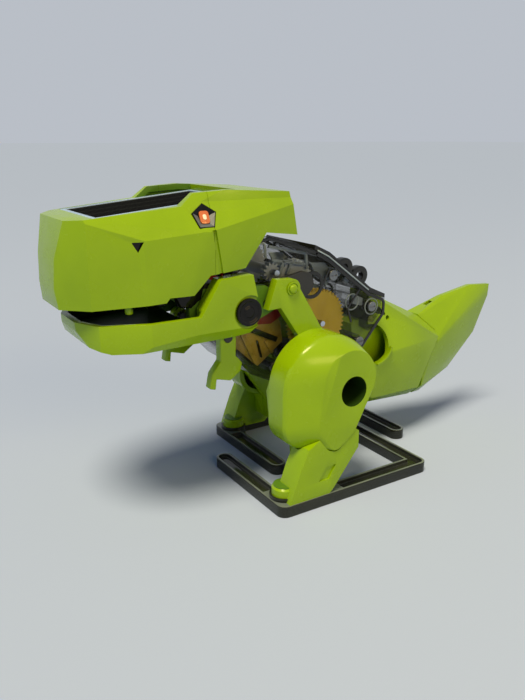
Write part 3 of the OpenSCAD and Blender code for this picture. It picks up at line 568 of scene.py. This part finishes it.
for sideName, side in sides.items():
    pin = crankPin(lowerAxle, side)
    near, far = (side * x for x in thighKit["bored"])
    thigh = eggHull(side, pin, 0, thighKit["rings"])
    hollow = eggHull(side, pin, thighKit["wall"], hollowRings())
    cutAway(hollow, turnedDisc(pin, thighKit["tube"], near, far, rim=thighKit["boreEdge"]))
    cutAway(thigh, hollow)
    cutAway(thigh, turnedDisc(pin, thighKit["window"], near, far, rim=thighKit["boreEdge"]))
    roundEdges(thigh, *thighKit["edge"])
    paint(thigh, "lime")
    shadedFrom, shadedTo = thighKit["shaded"]
    shadedReach = thighKit["window"] + thighKit["shadedOver"]
    # painted shade: the window's bore is painted near-black green
    paintFaces(thigh, "painted_shade_deep_green", lambda centre, normal: shadedFrom < abs(centre.x) / mm < shadedTo
               and math.dist((centre.y / mm, centre.z / mm), pin) < shadedReach)
    finishPiece(thigh, "thigh_" + sideName + "_egg", "lime", "leg_" + sideName, "thigh_" + sideName)

    # a dark disc where the bottom of the window lies in shadow: painted shade
    shadeDisc = ring(pin, shadeDiscKit["outer"], shadeDiscKit["inner"], side * shadeDiscKit["from"],
                  side * shadeDiscKit["to"], shadeDiscKit["edge"])
    finishPiece(shadeDisc, "hip_shade_disc_" + sideName, "dark", "leg_" + sideName)
print("thighs made")


# jaw cap, lever knob, toe collar and toe shade pad, a dark green disc on the toe that is painted shade: steps
# are the (inset, depth) of each ring of a face, and a pair or trio for an edge is its width, segments and the
# angle that it is rounded from
capKit = {"radius": 4.6, "inner": 24.5, "outer": 25.7,
          "steps": ((0.8, 0.0), (0.5, -0.5), (1.3, 0.0), (0.4, 0.45))}
stubKit = {"radius": 2.4, "inner": 16, "outer": 24.6, "edge": 0.1}  # the pin behind the jaw cap
knobKit = {"radius": 2.3, "inner": 22.9, "outer": 23.3, "edge": 0.15,
           "steps": ((0.35, 0.0), (0.1, -0.3), (0.25, 0.0), (0.1, 0.6), (0.35, 0.2), (0.5, 0.1))}
toeKit = {"x": 31.0, "forward": 23.8}  # the toe's middle, from the robot's middle and from the lower pin
collarKit = {"radius": 5.3, "wall": 0.75, "low": 4.2, "high": 5.6, "edge": (0.2, 2)}
toeShadeKit = {"radius": 3.9, "low": 8.7, "high": 9.15, "edge": (0.15, 2)}
for sideName, side in sides.items():
    cap = turnedDisc(pivotOf["jaw_hinge"], capKit["radius"], side * capKit["inner"], side * capKit["outer"],
                     capKit["steps"])
    stub = turnedDisc(pivotOf["jaw_hinge"], stubKit["radius"], side * stubKit["inner"],
                      side * stubKit["outer"], rim=stubKit["edge"])
    finishPiece(join([cap, stub]), "jaw_cap_" + sideName, "gloss_black", "chassis", "jaw_pin_" + sideName)

    knob = turnedDisc(crankPin(upperAxle, side), knobKit["radius"], side * knobKit["inner"],
                      side * knobKit["outer"], knobKit["steps"], knobKit["edge"])
    finishPiece(knob, "lever_knob_" + sideName, "lime", "upper_crank", *leftStandsFor("upper_caps", side))

    toe = (side * toeKit["x"], crankPin(lowerAxle, side)[0] - toeKit["forward"])
    collar = uprightCylinder(toe, collarKit["radius"], collarKit["low"], collarKit["high"], "NOTHING")
    applyModifier(collar, "SOLIDIFY", thickness=collarKit["wall"] * mm, offset=-1)
    roundEdges(collar, *collarKit["edge"])
    finishPiece(collar, "toe_collar_" + sideName, "foot_smoke", "leg_" + sideName)

    # painted shade: a dark green disc on top of the lime toe
    toeShade = uprightCylinder(toe, toeShadeKit["radius"], toeShadeKit["low"], toeShadeKit["high"])
    roundEdges(toeShade, *toeShadeKit["edge"])
    finishPiece(toeShade, "toe_shade_pad_" + sideName, "dark_green", "leg_" + sideName)
print("caps, knobs, collars and pads made")


# eye: a five-sided tray in the slope of the brow, with a lens and a pale middle in it
eyeKit = {
    "place": (22.25, -57.3, 102.0),  # the middle of the left tray, on the brow
    "lean": math.atan(0.5),  # how far the brow's normal is above level
    "corners": 5,
    "radius": 4.3,
    "deep": 1.35,
    "rim": 0.25,
    "slope": 1.55,
    "sunk": 0.75,
    "slopeNormal": (0.3, 0.99),  # least and most share of a slope's normal that points out of the tray
    "greyFrom": -0.4,  # the slopes from here down the brow face up into the light and are painted grey: painted light
    # size, corner radius, how far its middle stands off the brow, and finish
    "lens": ((4.1, 3.2, 0.5), 0.9, -0.5, "amber"),
    "pupil": ((1.7, 1.2, 0.2), 0.5, -0.18, "pupil"),
    "blockEdge": (0.1, 2, 50),
}


# puts a piece built upright at the middle into the sloping socket
def setInSocket(piece, side, lift):
    x, y, z = eyeKit["place"]
    across, up = lift * math.cos(eyeKit["lean"]), lift * math.sin(eyeKit["lean"])
    piece.location = Vector((side * (x + across), y, z + up)) * mm
    piece.rotation_euler = (0, side * (math.pi / 2 - eyeKit["lean"]), 0)
    takeUp(piece)
    bpy.ops.object.transform_apply(location=True, rotation=True, scale=True)


def softBlock(size, corner):
    putDown()
    bpy.ops.mesh.primitive_cube_add(size=mm, location=(0, 0, 0), scale=size)
    piece = bpy.context.object
    bpy.ops.object.transform_apply(location=True, scale=True)
    pickEdges(piece, lambda a, b: abs(a.z - b.z) > 0.5 * size[2] * mm)  # the upright edges
    bpy.ops.mesh.bevel(offset=corner * mm, segments=5)
    bpy.ops.object.mode_set(mode="OBJECT")
    roundEdges(piece, *eyeKit["blockEdge"])
    return piece


for sideName, side in sides.items():
    putDown()
    bpy.ops.mesh.primitive_cylinder_add(vertices=eyeKit["corners"], radius=eyeKit["radius"] * mm,
                                        depth=eyeKit["deep"] * mm, rotation=(0, 0, side * math.pi / 2))
    tray = bpy.context.object
    bpy.ops.object.transform_apply(location=True, rotation=True)
    pickFaces(tray, lambda centre, normal: normal.z > squareOn)
    bpy.ops.mesh.inset(thickness=eyeKit["rim"] * mm, depth=0)
    bpy.ops.mesh.inset(thickness=eyeKit["slope"] * mm, depth=-eyeKit["sunk"] * mm)
    bpy.ops.object.mode_set(mode="OBJECT")
    paint(tray, "gloss_black")
    least, most = eyeKit["slopeNormal"]
    # painted light: the tray's lower slopes, lit from above, are painted grey over the gloss black
    paintFaces(tray, "lit_socket_grey", lambda centre, normal: least < normal.z < most
               and centre.x * side > eyeKit["greyFrom"] * mm)
    setInSocket(tray, side, -eyeKit["deep"] / 2)
    finishPiece(tray, "eye_tray_" + sideName, "gloss_black", "chassis")

    blocks = []
    for size, corner, lift, slot in (eyeKit["lens"], eyeKit["pupil"]):
        block = softBlock(size, corner)
        paint(block, slot)
        setInSocket(block, side, lift)
        blocks.append(block)
    finishPiece(join(blocks), "eye_lens_" + sideName, "amber", "chassis",
                *leftStandsFor("eye_lenses", side))
print("eyes made")


# gearbox: glossy rims, ribs, painted highlights along the top edge and round two bosses, and the shapes that
# show through the smoked sides, as (y, z) outlines
plateOut = 16.0
detailEdge = (0.15, 2, 40)
gearboxKit = {  # name: (slot, inner x, outer x, outlines)
    "rim": ("smoke_rim", plateOut, 16.4, [
        strip([(-37.4, 91.4), (-30.0, 92.7), (-11.6, 86.6), (-5.5, 83.3), (14.7, 68.3), (21.4, 65.6),
               (22.3, 64.4), (22.3, 60.6), (21.8, 59.4), (11.8, 47.8), (4.6, 40.6)], 1.2),
        strip([(-4.4, 79.9), (-8.0, 73.2)], 1.0),
        strip([(10.0, 70.8), (4.6, 64.2), (6.5, 58.6)], 0.8),
        strip([(-10.8, 85.6), (-8.8, 87.4), (-6.4, 84.6)], 1.1)]),
    # a thin pale strip along the top edge: a painted highlight
    "rail": ("pale_grey", 15.7, 16.45, [
        strip([(-9.9, 87.0), (-5.0, 84.5), (14.4, 70.1)], 0.5)]),
    "frame": ("pale_grey", 13.2, 14.1, [
        strip([(-29.0, 89.6), (-13.4, 85.9)], 1.0),
        strip([(-27.8, 84.9), (-13.6, 82.0)], 0.9),
        strip([(-13.2, 85.6), (-12.8, 80.4)], 0.9),
        strip([(-22.6, 84.6), (-24.6, 78.8)], 1.1),
        strip([(-19.4, 83.4), (-21.2, 79.2)], 1.0),
        [(-11.4, 82.4), (-5.2, 82.0), (-0.6, 77.8), (-4.0, 73.2), (-9.2, 78.4)],
        [(8.4, 68.9), (13.6, 66.6), (13.4, 63.6), (8.6, 65.0)],
        strip([(-2.4, 55.6), (4.6, 52.2)], 1.0)]),
    "windows": ("white", 13.3, 14.15, [
        strip([(-0.6, 79.0), (2.2, 76.9)], 1.9),
        strip([(4.4, 75.0), (6.2, 73.6)], 1.5)]),
    "cradle": ("gold_brown", 12.0, 13.2, [
        [(-43.0, 66.0), (-40.0, 68.0), (-26.0, 68.0), (-23.5, 62.0), (-22.5, 55.0), (-29.0, 50.2),
         (-33.0, 47.4), (-38.6, 51.8), (-43.0, 56.4)]]),
    "cradleRibs": ("gold_brown", 13.2, 14.0, [
        strip([(-41.0, 63.4), (-38.2, 57.2), (-34.4, 49.6)], 1.6),
        strip([(-30.0, 56.4), (-27.2, 51.6)], 1.2)]),
    "cradleBars": ("smoke_rim", 13.1, 14.1, [
        strip([(-36.4, 61.6), (-25.4, 56.2)], 1.9),
        strip([(-42.0, 54.8), (-35.4, 48.6)], 0.9),
        strip([(-33.6, 57.0), (-31.8, 50.6)], 0.6)]),
    "redBand": ("dark_red", 13.15, 14.1, [
        [(-37.0, 68.6), (-24.4, 68.2), (-23.8, 64.6), (-28.0, 62.4), (-34.0, 62.9)]]),
}
gearboxRings = {  # name: (slot, place, outer radius, inner radius, outer x)
    "hub": ("smoke_rim", (-12.2, 74.9), 5.0, 3.7, 16.45),
    # the boss and corner rings are pale outlines: painted highlights on their edges
    "boss": ("painted_highlight_rim", (6.6, 66.4), 3.2, 2.75, 16.3),
    "corner": ("painted_highlight_rim", (16.1, 63.5), 3.3, 2.85, 16.3),
}
for sideName, side in sides.items():
    for name, (slot, inner, outer, outlines) in gearboxKit.items():
        detail = join([drawnPlate(outline, side * inner, side * outer) for outline in outlines])
        roundEdges(detail, *detailEdge)
        finishPiece(detail, "gearbox_" + name + "_" + sideName, slot, "chassis")
    for name, (slot, place, outer, inner, x) in gearboxRings.items():
        detail = ring(place, outer, inner, side * plateOut, side * x)
        finishPiece(detail, "gearbox_" + name + "_ring_" + sideName, slot, "chassis")
print("gearbox details made")


# mouth bracket, and the curled lip of the tail
mouthKit = {"outline": ((-73.6, 79.6), (-73.6, 76.6), (-72.2, 75.2), (-70.4, 75.6), (-69.4, 77.4),
                        (-66.6, 77.4), (-65.2, 74.0), (-61.5, 73.4), (-58.0, 76.0), (-56.0, 82.5),
                        (-60.0, 82.5), (-64.0, 79.6)),
            "inner": 16.6, "outer": 19.7, "edge": (0.5, 3, 20)}
lipKit = {"middle": (22.1, 46.5), "radius": 8.0, "from": -88, "to": -12, "points": 24, "width": 1.0,
          "inner": 13.4, "outer": 14.7, "edge": (0.3, 3, 30)}
lipCurl = strip(arc(lipKit["middle"], lipKit["radius"], lipKit["from"], lipKit["to"], lipKit["points"]),
                lipKit["width"])
for sideName, side in sides.items():
    bracket = drawnPlate(mouthKit["outline"], side * mouthKit["inner"], side * mouthKit["outer"])
    roundEdges(bracket, *mouthKit["edge"])
    finishPiece(bracket, "mouth_bracket_" + sideName, "gloss_black", "chassis")

    lip = drawnPlate(lipCurl, side * lipKit["inner"], side * lipKit["outer"])
    roundEdges(lip, *lipKit["edge"])
    finishPiece(lip, "tail_lip_" + sideName, "lime", "chassis")
print("brackets and lips made")


# floor and world: what a straight, glossy or see-through ray meets is the plain backdrop
stageKit = {"floorSize": 40, "floorRoughness": 0.9, "floorTint": (0.375, 0.475, 0.86),
            "worldTint": (0.70, 0.86, 0.95), "worldStrength": 0.15, "backdrop": (0.488, 0.520, 0.570)}

putDown()
bpy.ops.mesh.primitive_plane_add(size=stageKit["floorSize"], location=(0, 0, 0))
floor = bpy.context.object
floor.name = "floor"
floorPaint = plainMaterial("paleFloor", stageKit["floorTint"], stageKit["floorRoughness"], specular=0.0)
floor.data.materials.append(floorPaint[0])

world = bpy.data.worlds.new("studio")
world.use_nodes = True
tree = world.node_tree
glow = tree.nodes["Background"]
glow.inputs["Color"].default_value = (*stageKit["worldTint"], 1)
glow.inputs["Strength"].default_value = stageKit["worldStrength"]
plain = addNode(tree, "ShaderNodeBackground", (0, -160), {"Color": (*stageKit["backdrop"], 1)})
path = addNode(tree, "ShaderNodeLightPath", (-500, 300))
seen = addNode(tree, "ShaderNodeMath", (-260, 300), operation="ADD", use_clamp=True)
seenThrough = addNode(tree, "ShaderNodeMath", (-80, 300), operation="ADD", use_clamp=True)
choice = addNode(tree, "ShaderNodeMixShader", (220, 0))
link(tree, (path, "Is Camera Ray", seen, 0), (path, "Is Glossy Ray", seen, 1),
     (seen, 0, seenThrough, 0), (path, "Is Transmission Ray", seenThrough, 1),
     (seenThrough, 0, choice, 0), (glow, 0, choice, 1), (plain, 0, choice, 2),
     (choice, 0, tree.nodes["World Output"], "Surface"))
bpy.context.scene.world = world

lampAim = Vector((0, 0, 0.05))
lamps = {  # kind, place in metres, degrees or metres wide, metres high, strength, tint
    "keyLight": ("SUN", (0.20, -0.29, 0.94), 20, 0, 3.9, (1.0, 0.81, 0.42)),
    "snoutSoftbox": ("AREA", (-0.15, -0.75, 0.30), 0.40, 0.40, 0.3, (1.0, 0.98, 0.94)),
    "sideSoftbox": ("AREA", (0.85, 0.08, 0.48), 0.80, 0.22, 4.2, (1.0, 0.72, 0.26)),
}
for name, (kind, place, wide, high, strength, tint) in lamps.items():
    putDown()
    bpy.ops.object.light_add(type=kind, location=place)
    lamp = bpy.context.object
    lamp.name = name
    lamp.data.energy = strength
    lamp.data.color = tint
    if kind == "SUN":
        lamp.data.angle = math.radians(wide)
    else:
        lamp.data.shape = "RECTANGLE"
        lamp.data.size = wide
        lamp.data.size_y = high
    lamp.rotation_euler = (lampAim - Vector(place)).to_track_quat("-Z", "Y").to_euler()

shot = {"place": (0.2089, -0.1541, 0.1247), "azimuth": 57.83, "elevation": 17.23, "lens": 35.1,
        "nearest": 0.01}
putDown()
bpy.ops.object.camera_add(location=shot["place"],
                          rotation=(math.radians(90 - shot["elevation"]), 0, math.radians(shot["azimuth"])))
camera = bpy.context.object
camera.name = "camera"
camera.data.lens = shot["lens"]
camera.data.clip_start = shot["nearest"]
bpy.context.scene.camera = camera
bpy.context.scene.view_settings.view_transform = "Standard"
print("stage set")
